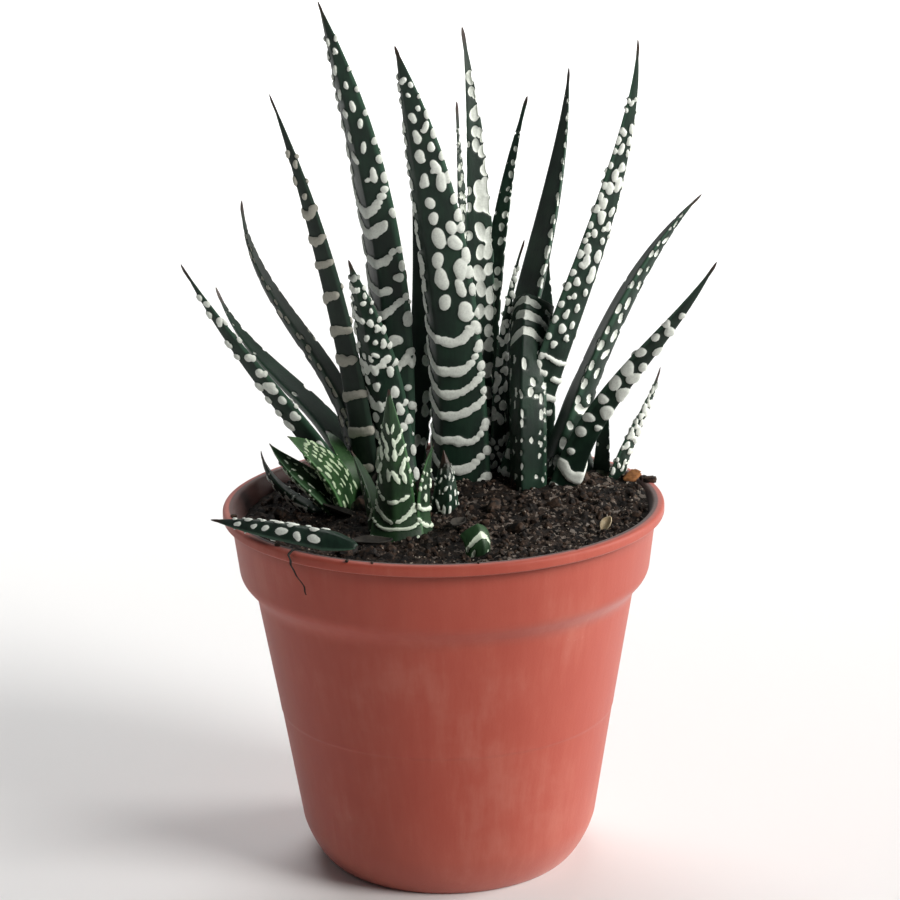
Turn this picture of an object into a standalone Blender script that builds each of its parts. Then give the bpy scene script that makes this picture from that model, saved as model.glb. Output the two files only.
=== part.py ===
"""A zebra haworthia in its small plastic nursery pot: a clump of rosettes with young pups, rooted in
mounded soil. Every leaf is its own closed blade, seated on the short stem of its rosette.

Units are metres, +Z is up, and the origin is the centre of the pot's foot on the floor. The side with
the low pups and the fallen leaf faces -Y. Run it with: blender --background --python part.py
"""

import math

import bmesh
import bpy
from mathutils import Vector

MM = 0.001
GAP = 0.3 * MM  # clearance between pieces that touch
CRUMB = 0.001 * MM  # points closer than this are one point

# Pot: a standard nursery pot, turned
POT_HEIGHT = 71.5 * MM
RIM_RADIUS = 42.5 * MM
LIP_HEIGHT = 2.0 * MM
LIP_OVERHANG = 1.6 * MM  # how far the lip stands out of the collar
LIP_EDGE = 0.35 * MM  # bevel on the lip's edges
LIP_FLARE = 0.6 * MM  # how much wider the mouth is at the very top
COLLAR_HEIGHT = 13.5 * MM  # top of the lip down to the shoulder
COLLAR_DRAFT = 1.4 * MM  # how much the collar narrows on the way down
SHOULDER_DROP = 3.4 * MM
SHOULDER_STEP = 2.9 * MM  # how much narrower the body is below the shoulder
BODY_FOOT_RADIUS = 29.0 * MM  # where the straight side meets the rounded foot
FOOT_ROUND_HEIGHT = 9.0 * MM
FOOT_RADIUS = 24.0 * MM
FOOT_EASE = 1.5  # 1 is a quarter of an ellipse, and more is flatter
WALL = 1.2 * MM
POT_STEPS = 48
# Base: a central disc and an outer ring touch the floor, with a raised channel of holes between
DISC_RADIUS = 9.5 * MM
CHANNEL_OUTER = 20.5 * MM
CHANNEL_RISE = 1.2 * MM
FLOOR_THICKNESS = 1.3 * MM
HOLE_COUNT = 8
HOLE_DIAMETER = 5.0 * MM
HOLE_SIDES = 12

# Soil: a mound that rises to the rosettes
SOIL_DEPTH_AT_RIM = 2.2 * MM
MOUND_RISE = 4.2 * MM
MOUND_CENTRE = (6 * MM, 12 * MM)
MOUND_SPREAD = 17 * MM
BANK_RISE = 1.6 * MM  # a second heap behind the right-hand pup
BANK_CENTRE = (30 * MM, 15 * MM)
BANK_SPREAD = 10 * MM
DIP_DEPTH = 3.0 * MM  # the soil lies lower at the left, and bares the inside of the pot
DIP_CENTRE = (-36 * MM, 2 * MM)
DIP_SPREAD = 13 * MM
LUMP_HEIGHT = 0.35 * MM
LUMP_WAVES = (190, 230, 410, 300)  # radians a metre
SOIL_STEPS = 40
SOIL_RINGS = 7

# Leaf blades
LEAF_SIDES = 8
LEAF_RINGS = 12
SMALL_LEAF_RINGS = 8
SMALL_LEAF_LENGTH = 32 * MM
TIP_SHARE = 0.06  # width of the last ring before the point
UPPER_SHARE = 0.22  # share of the depth above the blade's edges; the rest is the keeled back
KEEL = 1.25  # how much the back narrows to its keel

STEM_BURIED = 9 * MM
STEM_STEPS = 12

# Rosettes: centre x and y, height of the stem's top over the soil, stem radius
ROSETTES = {
    "left": ((-9.0, 13.0), 1.2, 5.0),
    "middle": ((6.5, 15.5), 1.2, 5.5),
    "right": ((18.0, 14.0), 1.0, 5.0),
    "right_pup": ((31.0, 14.0), 0.4, 2.2),
    "front_pup": ((-8.5, -15.0), 0.6, 3.2),
    "side_pup": ((-17.0, 5.0), 0.6, 2.6),
    "small_pup": ((-0.5, -5.0), 0.2, 1.8),
}

# One row a leaf, from the inside of its rosette outwards, in millimetres and degrees:
# rosette, direction it leans in (0 is +X, 90 is +Y), distance of its seat from the rosette's centre,
# seat depth under the soil, lean from upright at its base, middle and tip, length, width, depth, and
# taper: the share of the length over which the blade widens from its point
LEAVES = [
    ("middle", 110, 3.0, 0.5, (-14, -2, 24), 89, 7.0, 4.2, 0.45),
    ("middle", 135, 4.0, 1.0, (-10, 1, 4), 74, 4.6, 3.2, 0.50),
    ("middle", 65, 4.0, 1.0, (0, 18, 40), 77, 5.4, 3.6, 0.50),
    ("middle", 35, 4.0, 1.0, (9, 18, 5), 81, 8.8, 4.6, 0.42),
    ("middle", -160, 4.0, 1.5, (-16, 4, 4), 53, 5.6, 3.6, 0.40),
    ("middle", -20, 4.0, 1.0, (0, 7, 20), 48, 4.0, 2.6, 0.50),
    ("middle", -115, 7.0, 3.0, (-3, 16, 33), 95, 11.2, 5.4, 0.33),
    ("middle", -20, 6.0, 2.5, (14, 21, 8), 92.0, 9.2, 6.2, 0.42),
    ("middle", 85, 7.0, 2.5, (18, 30, 40), 60, 7.4, 4.4, 0.45),
    ("left", 60, 3.6, 0.5, (26, 1, -10), 80, 6.2, 4.0, 0.42),
    ("left", -135, 2.2, 1.5, (-11, 10, 24), 100.3, 10.4, 5.4, 0.26),
    ("left", -160, 4.4, 2.5, (5, 13, 22), 84, 7.6, 4.4, 0.42),
    ("left", -115, 6.0, 2.5, (-24, 19, 29), 55, 9.2, 4.4, 0.45),
    ("left", 165, 7.0, 2.5, (-16, 36, 1), 64.7, 6.0, 4.6, 0.45),
    ("left", -167, 7.0, 1.5, (30, 37, 30), 59.7, 5.8, 4.4, 0.55),
    ("left", 148, 7.5, 2.0, (15, 55, 23), 52.3, 4.4, 3.2, 0.55),
    ("left", 85, 6.5, 2.5, (12, 26, 36), 44, 6.8, 4.2, 0.45),
    ("right", 5, 2.0, 0.5, (21, 27, 50), 63.5, 8.0, 5.2, 0.42),
    ("right", -100, 7.0, 2.5, (12, -14, -24), 38, 7.4, 4.4, 0.40),
    ("right", -45, 7.0, 3.0, (15, 43, 36), 65, 7.0, 4.6, 0.48),
    ("right", 80, 5.5, 2.0, (12, 26, 34), 44, 6.6, 4.2, 0.45),
    ("right", 50, 7.0, 2.5, (20, 30, 36), 30, 6.4, 4.0, 0.45),
    ("right_pup", 60, 0.8, 0.5, (4, 10, 18), 15, 3.4, 2.2, 0.50),
    ("right_pup", -15, 2.0, 1.5, (13, 27, 16), 26, 5.6, 3.0, 0.60),
    ("right_pup", 150, 2.0, 1.0, (10, 20, 30), 12, 3.6, 2.2, 0.50),
    ("front_pup", -100, 1.4, 0.5, (4, 10, 14), 30, 7.6, 3.6, 0.55),
    ("front_pup", -95, 4.2, 2.0, (-24, -4, 12), 22, 9.6, 3.8, 0.50),
    ("front_pup", -10, 3.4, 1.5, (-6, 12, 24), 19, 6.6, 3.2, 0.50),
    ("front_pup", 160, 3.2, 1.5, (4, 20, 34), 18, 6.0, 3.2, 0.50),
    ("side_pup", -150, 1.0, 0.5, (10, 42, 56), 22, 8.8, 4.4, 0.50),
    ("side_pup", 120, 1.2, 0.5, (0, 40, 80), 18, 6.0, 3.4, 0.55),
    ("side_pup", -165, 2.6, 1.2, (30, 48, 34), 21, 7.8, 4.0, 0.50),
    ("side_pup", -178, 3.4, 2.0, (70, 50, 12), 21, 5.0, 3.0, 0.50),
    ("small_pup", -75, 1.0, 1.2, (36, 8, -24), 14, 4.4, 2.4, 0.50),
    ("small_pup", 60, 1.2, 0.8, (10, 16, 20), 9, 3.2, 1.8, 0.50),
]
# A bud that only just breaks the soil: centre x and y, then as a row above from its seat depth on
BUD = ((5.0, -26.5), -60, 2.8, (60, 10, -60), 7.6, 5.2, 3.0, 0.50)
# A shed leaf over the rim: seat x, y and height over the rim, direction, leans, then its sizes
SHED_LEAF = ((-16.5, -35.5, 2.0), 145, (90, 90, 92), 33.0, 5.2, 2.8, 0.35)
SHED_LEAF_ROLL = 160  # on its face, tipped a little outwards


def clear_scene():
    for old in list(bpy.data.objects):
        bpy.data.objects.remove(old, do_unlink=True)


def collection(name):
    made = bpy.data.collections.new(name)
    bpy.context.scene.collection.children.link(made)
    return made


def material(name, colour, roughness):
    made = bpy.data.materials.new(name)
    made.use_nodes = True
    shader = made.node_tree.nodes["Principled BSDF"]
    shader.inputs["Base Color"].default_value = (*colour, 1.0)
    shader.inputs["Roughness"].default_value = roughness
    shader.inputs["Metallic"].default_value = 0.0
    return made


def loft(name, rings, finish, home, point=None):
    """A closed body through rings of points, anticlockwise seen from past the last one."""
    bm = bmesh.new()
    rows = [[bm.verts.new(p) for p in ring] for ring in rings]
    for low, high in zip(rows[:-1], rows[1:]):
        for i in range(len(low)):
            j = (i + 1) % len(low)
            bm.faces.new((low[i], low[j], high[j], high[i]))
    bm.faces.new(rows[0][::-1])
    if point is None:
        bm.faces.new(rows[-1])
    else:
        tip = bm.verts.new(point)
        for i in range(len(rows[-1])):
            bm.faces.new((rows[-1][i], rows[-1][(i + 1) % len(rows[-1])], tip))
    # A bent four-sided face has no one plane to be cut along, so each becomes two triangles
    bmesh.ops.triangulate(bm, faces=bm.faces)
    mesh = bpy.data.meshes.new(name)
    bm.to_mesh(mesh)
    bm.free()
    mesh.materials.append(finish)
    mesh.shade_smooth()
    mesh.set_sharp_from_angle(angle=math.radians(50))
    made = bpy.data.objects.new(name, mesh)
    home.objects.link(made)
    return made


def turned(name, profile, steps, finish, home):
    """A profile of (radius, height) points, from axis to axis, spun round Z."""
    mesh = bpy.data.meshes.new(name)
    points = [(r, 0.0, z) for r, z in profile]
    mesh.from_pydata(points, [(i, i + 1) for i in range(len(points) - 1)], [])
    mesh.materials.append(finish)
    made = bpy.data.objects.new(name, mesh)
    home.objects.link(made)
    screw = made.modifiers.new("Spin", "SCREW")
    screw.steps = steps
    screw.render_steps = steps
    screw.use_merge_vertices = True
    screw.merge_threshold = 0.00001
    screw.use_smooth_shade = True
    return made


def cut(piece, cutter):
    boolean = piece.modifiers.new("Clear " + cutter.name, "BOOLEAN")
    boolean.operation = "DIFFERENCE"
    boolean.solver = "EXACT"
    boolean.object = cutter


def cut_all(piece, cutters):
    """Clears a piece of every cutter in a collection at once."""
    boolean = piece.modifiers.new("Clear " + cutters.name, "BOOLEAN")
    boolean.operation = "DIFFERENCE"
    boolean.solver = "EXACT"
    boolean.operand_type = "COLLECTION"
    boolean.collection = cutters


def helper(cutter):
    cutter.hide_render = True
    cutter.display_type = "WIRE"
    return cutter


def settle(piece):
    """Makes a piece's cuts real and drops the crumbs that they leave, so that one body stays."""
    graph = bpy.context.evaluated_depsgraph_get()
    mesh = bpy.data.meshes.new_from_object(piece.evaluated_get(graph))
    piece.modifiers.clear()
    piece.data = mesh
    bm = bmesh.new()
    bm.from_mesh(mesh)
    bmesh.ops.remove_doubles(bm, verts=bm.verts, dist=CRUMB)
    bodies = []
    left = set(bm.verts)
    while left:
        body, edge = set(), [left.pop()]
        while edge:
            vert = edge.pop()
            body.add(vert)
            fresh = {e.other_vert(vert) for e in vert.link_edges} & left
            left -= fresh
            edge.extend(fresh)
        bodies.append(body)
    bodies.sort(key=len)
    bmesh.ops.delete(bm, geom=[v for body in bodies[:-1] for v in body], context="VERTS")
    bm.to_mesh(mesh)
    bm.free()


def body_radius():
    """Outer radius just under the shoulder."""
    return RIM_RADIUS - LIP_OVERHANG - COLLAR_DRAFT - SHOULDER_STEP


def foot_arc(radius, foot_radius, bottom, points=4):
    """The rounded foot, from the straight side down to the flat underneath."""
    arc = []
    for i in range(1, points + 1):
        a = math.pi / 2 * i / points
        arc.append((
            foot_radius + (radius - foot_radius) * max(0.0, math.cos(a)) ** FOOT_EASE,
            FOOT_ROUND_HEIGHT - (FOOT_ROUND_HEIGHT - bottom) * math.sin(a) ** FOOT_EASE,
        ))
    return arc


def inner_wall():
    """(radius, height) of the pot's inside, from the lip down to the floor."""
    collar_inner = RIM_RADIUS - LIP_OVERHANG - WALL
    shoulder = POT_HEIGHT - COLLAR_HEIGHT
    floor = CHANNEL_RISE + FLOOR_THICKNESS
    wall = [
        (collar_inner, POT_HEIGHT - LIP_HEIGHT),
        (collar_inner - COLLAR_DRAFT, shoulder + 0.5 * WALL),
        (body_radius() - WALL, shoulder - SHOULDER_DROP),
        (BODY_FOOT_RADIUS - WALL, FOOT_ROUND_HEIGHT),
    ]
    return wall + foot_arc(BODY_FOOT_RADIUS - WALL, FOOT_RADIUS - WALL, floor)


def inner_radius_at(z):
    wall = inner_wall()
    for (r0, z0), (r1, z1) in zip(wall[:-1], wall[1:]):
        if z1 <= z <= z0:
            return r0 + (r1 - r0) * (z0 - z) / (z0 - z1)
    return wall[0][0]


def soil_height(x, y):
    edge = POT_HEIGHT - SOIL_DEPTH_AT_RIM
    mound = math.dist((x, y), MOUND_CENTRE) / MOUND_SPREAD
    bank = math.dist((x, y), BANK_CENTRE) / BANK_SPREAD
    dip = math.dist((x, y), DIP_CENTRE) / DIP_SPREAD
    coarse_x, coarse_y, fine_x, fine_y = LUMP_WAVES
    lumps = math.sin(coarse_x * x + 1.0) * math.sin(coarse_y * y) + 0.6 * math.sin(fine_x * x - fine_y * y)
    return (
        edge
        + MOUND_RISE * math.exp(-0.5 * mound * mound)
        + BANK_RISE * math.exp(-0.5 * bank * bank)
        - DIP_DEPTH * math.exp(-0.5 * dip * dip)
        + LUMP_HEIGHT * lumps
    )


def soil_edge(angle):
    """Radius of the soil's top edge, a gap inside the pot at the height that the soil has there."""
    r = inner_radius_at(POT_HEIGHT - SOIL_DEPTH_AT_RIM)
    return inner_radius_at(soil_height(r * math.cos(angle), r * math.sin(angle))) - GAP


def make_pot(finish, home, cutters):
    collar = RIM_RADIUS - LIP_OVERHANG
    shoulder = POT_HEIGHT - COLLAR_HEIGHT
    outside = [
        (RIM_RADIUS - LIP_EDGE, POT_HEIGHT),
        (RIM_RADIUS, POT_HEIGHT - LIP_EDGE),
        (RIM_RADIUS, POT_HEIGHT - LIP_HEIGHT + LIP_EDGE),
        (RIM_RADIUS - LIP_EDGE, POT_HEIGHT - LIP_HEIGHT),
        (collar, POT_HEIGHT - LIP_HEIGHT - LIP_EDGE),
        (collar - COLLAR_DRAFT, shoulder),
        (body_radius(), shoulder - SHOULDER_DROP),
        (BODY_FOOT_RADIUS, FOOT_ROUND_HEIGHT),
    ]
    outside += foot_arc(BODY_FOOT_RADIUS, FOOT_RADIUS, 0.0)
    underside = [
        (CHANNEL_OUTER + CHANNEL_RISE, 0.0),
        (CHANNEL_OUTER, CHANNEL_RISE),
        (DISC_RADIUS + CHANNEL_RISE, CHANNEL_RISE),
        (DISC_RADIUS, 0.0),
        (0.0, 0.0),
    ]
    inside = [(0.0, CHANNEL_RISE + FLOOR_THICKNESS)] + inner_wall()[::-1]
    inside.append((collar - WALL + LIP_FLARE, POT_HEIGHT))
    pot = turned("pot", inside + outside + underside, POT_STEPS, finish, home)
    ring_radius = (DISC_RADIUS + CHANNEL_RISE + CHANNEL_OUTER) / 2
    for i in range(HOLE_COUNT):
        angle = math.tau * i / HOLE_COUNT
        centre = (ring_radius * math.cos(angle), ring_radius * math.sin(angle))
        corners = [math.tau * k / HOLE_SIDES for k in range(HOLE_SIDES)]
        rings = [
            [
                (
                    centre[0] + HOLE_DIAMETER / 2 * math.cos(a),
                    centre[1] + HOLE_DIAMETER / 2 * math.sin(a),
                    z,
                )
                for a in corners
            ]
            for z in (CHANNEL_RISE / 2, CHANNEL_RISE + 2 * FLOOR_THICKNESS)
        ]
        cut(pot, helper(loft(f"hole_{i + 1}", rings, finish, cutters)))
    return pot


def make_soil(finish, home):
    """The whole fill, from its uneven top down the inside of the pot to the floor."""
    angles = [math.tau * i / SOIL_STEPS for i in range(SOIL_STEPS)]
    wall = [(r - GAP, z + GAP) for r, z in inner_wall()[1:]]
    rings = [[(r * math.cos(a), r * math.sin(a), z) for a in angles] for r, z in wall[::-1]]
    for step in range(SOIL_RINGS, 0, -1):
        ring = []
        for a in angles:
            r = soil_edge(a) * step / SOIL_RINGS
            x, y = r * math.cos(a), r * math.sin(a)
            ring.append((x, y, soil_height(x, y)))
        rings.append(ring)
    return loft("soil", rings, finish, home, (0.0, 0.0, soil_height(0.0, 0.0)))


def lean_at(leans, t):
    """The lean a share t of the way up, on the curve through base, middle and tip leans."""
    base, middle, tip = leans
    return base * (1 - t) * (1 - 2 * t) + 4 * middle * t * (1 - t) + tip * t * (2 * t - 1)


def blade(name, seat, direction, leans, sizes, finish, home, grow=0.0, roll=0.0):
    """One leaf: an eight-sided section carried up a bent midline to a point."""
    length, width, depth, taper = sizes
    length, width, depth = length * MM, width * MM, depth * MM
    count = LEAF_RINGS if length > SMALL_LEAF_LENGTH else SMALL_LEAF_RINGS
    turn = math.radians(direction)
    side = Vector((-math.sin(turn), math.cos(turn), 0.0))
    place = Vector(seat)
    rings = []
    for i in range(count):
        t = i / count
        lean = math.radians(lean_at(leans, t))
        along = Vector((math.sin(lean) * math.cos(turn), math.sin(lean) * math.sin(turn), math.cos(lean)))
        across = (side * math.cos(roll) + along.cross(side) * math.sin(roll)).normalized()
        up = along.cross(across)
        fill = math.tanh(max(1 - t, TIP_SHARE) / taper) / math.tanh(1 / taper)
        half = width * fill / 2 + grow
        ring = []
        for k in range(LEAF_SIDES):
            a = math.tau * k / LEAF_SIDES
            height = UPPER_SHARE * math.sin(a)
            if math.sin(a) < 0:
                height = -(1 - UPPER_SHARE) * abs(math.sin(a)) ** KEEL
            height = depth * fill * height + grow * math.sin(a)
            ring.append(place + across * half * math.cos(a) + up * height)
        if i == 0 and grow:
            ring = [p - along * grow for p in ring]
        rings.append(ring)
        lean = math.radians(lean_at(leans, t + 0.5 / count))
        flat = math.sin(lean)
        step = Vector((flat * math.cos(turn), flat * math.sin(turn), math.cos(lean)))
        place = place + step * length / count
    return loft(name, rings, finish, home, place + step * grow)


def make_stems(finish, home, cutters):
    """Each rosette's short stem, whole, and a copy grown by the gap that trims what seats on it."""
    stems = {}
    for name, (centre, rise, radius) in ROSETTES.items():
        x, y = centre[0] * MM, centre[1] * MM
        top = soil_height(x, y) + rise * MM
        for grow, home_now, label in ((0.0, home, "_stem"), (GAP, cutters, "_stem_room")):
            r = radius * MM + grow
            low, high = top - STEM_BURIED - grow, top + grow
            profile = [
                (0.0, high),
                (r * 0.55, high - 0.12 * r),
                (r * 0.9, high - 0.45 * r),
                (r, high - r),
                (r * 0.8, low + 0.5 * r),
                (r * 0.3, low),
                (0.0, low),
            ]
            stem = turned(name + label, profile, STEM_STEPS, finish, home_now)
            stem.location = (x, y, 0.0)
            if grow:
                helper(stem)
                stems[name] = stem
    return stems


def midline(seat, direction, leans, length, count=12):
    turn = math.radians(direction)
    place = Vector(seat)
    points = [place.copy()]
    for i in range(count):
        lean = math.radians(lean_at(leans, (i + 0.5) / count))
        flat = math.sin(lean)
        step = Vector((flat * math.cos(turn), flat * math.sin(turn), math.cos(lean)))
        place = place + step * length / count
        points.append(place.copy())
    return points


def near(points, others, reach):
    return any((p - q).length < reach for p in points for q in others)


def leaf_rows():
    """(name, rosette, seat, direction, leans, sizes) for every leaf on a stem."""
    rows = []
    count = {}
    for rosette, direction, radius, seat_depth, leans, *sizes in LEAVES:
        count[rosette] = count.get(rosette, 0) + 1
        (cx, cy), _, _ = ROSETTES[rosette]
        turn = math.radians(direction)
        x = (cx + radius * math.cos(turn)) * MM
        y = (cy + radius * math.sin(turn)) * MM
        seat = (x, y, soil_height(x, y) - seat_depth * MM)
        rows.append((f"{rosette}_leaf_{count[rosette]}", rosette, seat, direction, leans, sizes))
    return rows


def make_leaves(finishes, stems, home, cutters):
    """Blades from the inside out, each trimmed clear of the stems and of the blades before it."""
    before = []
    for name, rosette, seat, direction, leans, sizes in leaf_rows():
        finish = finishes["pup" if "pup" in rosette else "leaf"]
        leaf = blade(name, seat, direction, leans, sizes, finish, home)
        room = helper(blade(name + "_room", seat, direction, leans, sizes, finish, cutters, GAP))
        line = midline(seat, direction, leans, sizes[0] * MM)
        for other, stem in stems.items():
            (cx, cy), _, radius = ROSETTES[other]
            if math.dist(seat[:2], (cx * MM, cy * MM)) < (radius + sizes[1]) * MM:
                cut(leaf, stem)
        for other_room, other_line, other_width in before:
            if near(line, other_line, (sizes[1] + other_width) * MM):
                cut(leaf, other_room)
        settle(leaf)
        before.append((room, line, sizes[1]))


def make_bud(finish, home, cutters):
    (x, y), direction, seat_depth, leans, *sizes = BUD
    x, y = x * MM, y * MM
    seat = (x, y, soil_height(x, y) - seat_depth * MM)
    blade("bud_leaf", seat, direction, leans, sizes, finish, home)
    helper(blade("bud_room", seat, direction, leans, sizes, finish, cutters, GAP))


def make_shed_leaf(finish, home):
    (x, y, over), direction, leans, *sizes = SHED_LEAF
    seat = (x * MM, y * MM, POT_HEIGHT + over * MM)
    blade("shed_leaf", seat, direction, leans, sizes, finish, home, roll=math.radians(SHED_LEAF_ROLL))


def main():
    clear_scene()
    home = collection("potted_haworthia")
    cutters = collection("cutters")
    rooms = collection("planted_rooms")
    plastic = material("pot_plastic", (0.42, 0.13, 0.09), 0.45)
    earth = material("soil", (0.035, 0.026, 0.020), 0.95)
    finishes = {
        "leaf": material("leaf", (0.020, 0.055, 0.035), 0.45),
        "pup": material("pup_leaf", (0.050, 0.120, 0.045), 0.45),
    }
    stalk = material("stem", (0.16, 0.20, 0.08), 0.6)
    make_pot(plastic, home, cutters)
    soil = make_soil(earth, home)
    stems = make_stems(stalk, home, rooms)
    make_leaves(finishes, stems, home, rooms)
    make_bud(finishes["pup"], home, rooms)
    cut_all(soil, rooms)
    settle(soil)
    make_shed_leaf(finishes["leaf"], home)


main()
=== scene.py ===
# %% [markdown]
# # A potted haworthia
#
# A clump of zebra haworthia stands in a small plastic nursery pot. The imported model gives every
# piece its size and place: the pot, the soil, the short stems and one plain blade for each leaf.
# This script keeps those places and gives the plant its looks: finely shaped leaves with raised
# white tubercles, crumbly soil, and satin terracotta-coloured plastic.

import math

import bpy
import numpy as np
from mathutils import Matrix, Vector, noise


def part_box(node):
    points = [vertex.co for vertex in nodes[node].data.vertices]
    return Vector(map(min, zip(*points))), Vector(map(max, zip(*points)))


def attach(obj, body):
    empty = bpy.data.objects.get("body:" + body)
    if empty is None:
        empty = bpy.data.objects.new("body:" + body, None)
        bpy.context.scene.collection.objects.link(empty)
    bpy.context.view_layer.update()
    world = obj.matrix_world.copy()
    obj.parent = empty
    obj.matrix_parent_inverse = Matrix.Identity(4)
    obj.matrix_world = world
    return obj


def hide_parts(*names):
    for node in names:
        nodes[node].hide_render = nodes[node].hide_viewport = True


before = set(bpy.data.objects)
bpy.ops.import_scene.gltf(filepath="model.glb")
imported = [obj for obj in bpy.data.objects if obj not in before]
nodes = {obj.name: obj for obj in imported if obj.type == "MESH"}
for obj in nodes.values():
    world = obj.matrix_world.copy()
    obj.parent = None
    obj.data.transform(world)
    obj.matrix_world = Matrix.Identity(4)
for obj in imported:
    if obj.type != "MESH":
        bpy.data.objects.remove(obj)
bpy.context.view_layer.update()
MM = 0.001

# %% [markdown]
# ## Camera and light
#
# The pot is seen from a little above, from half a metre away, with a long lens. A camera that looks
# along +Y is one turned 90 degrees about X; it is tipped down by subtracting from that angle, and
# its small roll is a turn about its own viewing axis.

# %% The camera
CAMERA_PLACE = (0.0, -0.500, 0.21866)
CAMERA_DOWN = 15.354  # degrees
CAMERA_TURN = -0.166
CAMERA_ROLL = -1.074
LENS = 108.1  # mm, on a 36 mm sensor

bpy.ops.object.camera_add(location=CAMERA_PLACE)
camera = bpy.context.object
camera.name = "camera"
camera.data.lens = LENS
camera.data.sensor_width = 36
camera.data.clip_start = 0.01
turn = Matrix.Rotation(math.radians(CAMERA_TURN), 4, "Z")
tip_down = Matrix.Rotation(math.radians(90 - CAMERA_DOWN), 4, "X")
roll = Matrix.Rotation(math.radians(CAMERA_ROLL), 4, "Z")
camera.matrix_world = Matrix.Translation(CAMERA_PLACE) @ turn @ tip_down @ roll
bpy.context.scene.camera = camera
print("camera", camera.name, "lens", LENS)

# %% [markdown]
# Two large soft lamps stand far off at the right, one high and to the front and one low and a little
# behind, which makes the pot's right side glow and leaves its left side in half shade. A weak one from
# behind on the left draws a thin edge there, and a dim pale world keeps the shade open. One more hangs
# over the paper behind the plant and keeps that white.

# %% Lamps and world
def area_lamp(name, place, aim, size, power, colour):
    bpy.ops.object.light_add(type="AREA", location=place)
    lamp = bpy.context.object
    lamp.name = name
    lamp.data.shape = "DISK"
    lamp.data.size = size
    lamp.data.energy = power
    lamp.data.color = colour
    lamp.rotation_euler = (Vector(aim) - Vector(place)).to_track_quat("-Z", "Y").to_euler()
    return lamp


PLANT = (0, 0, 0.08)  # what the lamps aim at
WARM, COOL, WHITE = (1.0, 0.98, 0.95), (0.95, 0.98, 1.0), (1.0, 1.0, 1.0)
area_lamp("window_light", (3.00, -1.90, 2.22), PLANT, 1.8, 144.0, WARM)
area_lamp("right_light", (3.20, 0.70, 1.02), PLANT, 1.4, 100.0, WARM)
area_lamp("left_rim", (-1.2, 0.7, 0.7), PLANT, 0.6, 0.7, COOL)
paper_light = area_lamp("paper_light", (-0.2, 1.6, 1.7), (-0.2, 1.6, 0), 1.8, 30.0, WHITE)
paper_light.data.spread = math.radians(115)

world = bpy.data.worlds.new("studio")
bpy.context.scene.world = world
world.use_nodes = True
background = world.node_tree.nodes["Background"]
background.inputs["Color"].default_value = (0.95, 0.97, 1.0, 1.0)
background.inputs["Strength"].default_value = 0.06
bpy.context.scene.view_settings.view_transform = "Standard"

# %% [markdown]
# ## Working by hand, in code
#
# Blender's operators act on whatever is selected. These helpers put everything in a known state
# first, and pick vertices by a rule instead of by clicking.

# %% Helpers for selecting and finishing
def deselect_all():
    if bpy.context.mode != "OBJECT":
        bpy.ops.object.mode_set(mode="OBJECT")
    for item in bpy.context.selected_objects:
        item.select_set(False)


def make_active(piece):
    deselect_all()
    piece.hide_viewport = False
    piece.select_set(True)
    bpy.context.view_layer.objects.active = piece


def pick(piece, rule, kind="VERT"):
    """Selects the vertices that satisfy rule(x, y, z), or the edges that do rule(end, other end)."""
    bpy.ops.object.mode_set(mode="EDIT")
    bpy.ops.mesh.select_mode(type=kind)
    bpy.ops.mesh.select_all(action="DESELECT")
    bpy.ops.object.mode_set(mode="OBJECT")
    mesh = piece.data
    if kind == "VERT":
        for vertex in mesh.vertices:
            vertex.select = rule(*vertex.co)
    else:
        for edge in mesh.edges:
            a, b = (mesh.vertices[i].co for i in edge.vertices)
            edge.select = rule(a, b)
    bpy.ops.object.mode_set(mode="EDIT")


def pick_open_edges():
    bpy.ops.mesh.select_mode(type="EDGE")
    bpy.ops.mesh.select_all(action="DESELECT")
    bpy.ops.mesh.select_non_manifold()


def face_outwards():
    """Turns all faces of the mesh being edited outwards, and leaves edit mode."""
    bpy.ops.mesh.select_all(action="SELECT")
    bpy.ops.mesh.normals_make_consistent(inside=False)
    bpy.ops.object.mode_set(mode="OBJECT")


def own_copy(mould):
    """A copy in the scene, with a mesh of its own."""
    copy = mould.copy()
    copy.data = mould.data.copy()
    bpy.context.collection.objects.link(copy)
    return copy


def apply_modifier(piece, kind, **settings):
    make_active(piece)
    modifier = piece.modifiers.new(kind.title(), kind)
    for key, value in settings.items():
        setattr(modifier, key, value)
    bpy.ops.object.modifier_apply(modifier=modifier.name)


def coordinates(mesh):
    """The mesh's vertex coordinates as an array of rows."""
    flat = np.empty(len(mesh.vertices) * 3)
    mesh.vertices.foreach_get("co", flat)
    return flat.reshape(-1, 3)


def set_coordinates(mesh, places):
    mesh.vertices.foreach_set("co", np.ascontiguousarray(places, float).ravel())
    mesh.update()


def store(mesh, name, values):
    """Keeps one number a vertex on the mesh, for its material to read."""
    attribute = mesh.attributes.new(name, "FLOAT", "POINT")
    attribute.data.foreach_set("value", np.asarray(values, np.float32))


def coat(piece, finish):
    piece.data.materials.clear()
    piece.data.materials.append(finish)


def place_piece(piece, name, finish, replaced=()):
    """Names a finished piece, gives it its material, and ties it to the frame."""
    piece.name = name
    piece.data.name = name
    coat(piece, finish)
    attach(piece, "root")
    if replaced:
        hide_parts(*replaced)


# %% [markdown]
# ## Writing materials as sums
#
# A material's maths reads best as an expression. Wire wraps a node's output so that +, -, * and ** add
# Math nodes, and Finish makes any other node with one method.

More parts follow.
